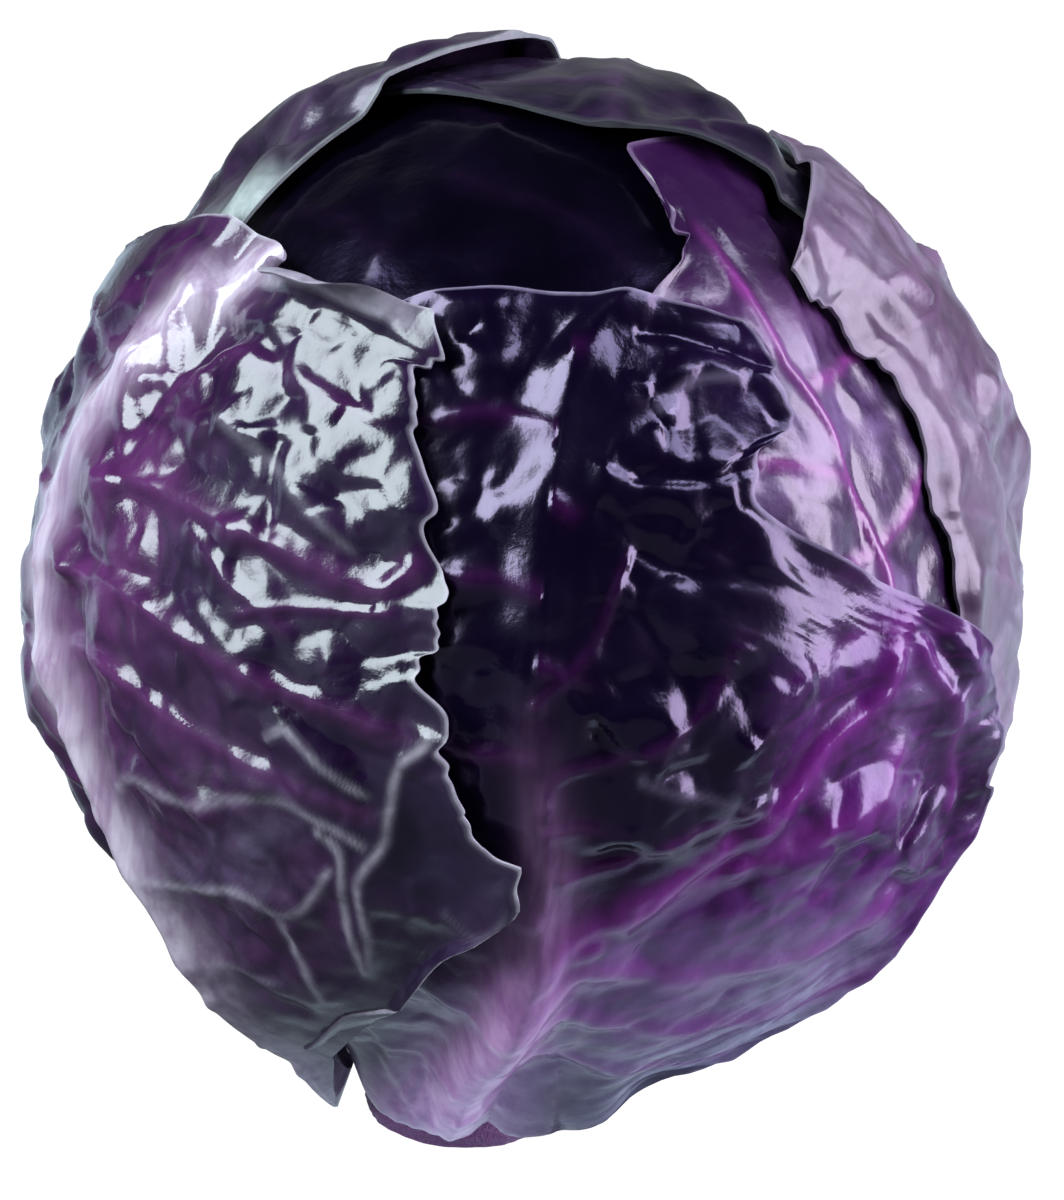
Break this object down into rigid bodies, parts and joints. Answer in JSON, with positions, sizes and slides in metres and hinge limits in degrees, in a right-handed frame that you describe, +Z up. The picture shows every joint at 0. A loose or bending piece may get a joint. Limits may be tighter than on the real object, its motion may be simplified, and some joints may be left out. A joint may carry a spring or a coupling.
{
  "type": "cabbage head",
  "caption": "Red cabbage head with lapping wrapper leaves round a tight heart, standing on its cut stalk.",
  "frame": {"origin": "centre of the stalk's flat cut face, which the head stands on", "axes": "+Z up through the head to its crown, -Y towards the front leaf's midrib, +X to the right of it"},
  "size_m": [0.15, 0.1572, 0.1679],
  "materials": {
    "leaf_purple": "dark purple leaf with a waxy lilac bloom, satin gloss, magenta veins",
    "leaf_lilac": "smooth lilac-violet leaf with a waxy bloom, satin gloss",
    "heart_dark": "blackish purple inner leaf, satin gloss",
    "stalk_flesh": "moist pale lilac-white cut stalk, matt"
  },
  "bodies": {
    "root": {"stalk": "stalk_flesh", "heart": "heart_dark", "leaf_inner_left": "heart_dark", "leaf_inner_right": "leaf_lilac", "leaf_back": "leaf_purple", "leaf_right": "leaf_purple", "leaf_front": "leaf_purple", "leaf_back_left": "leaf_purple", "leaf_left": "leaf_purple"}
  },
  "joints": []
}
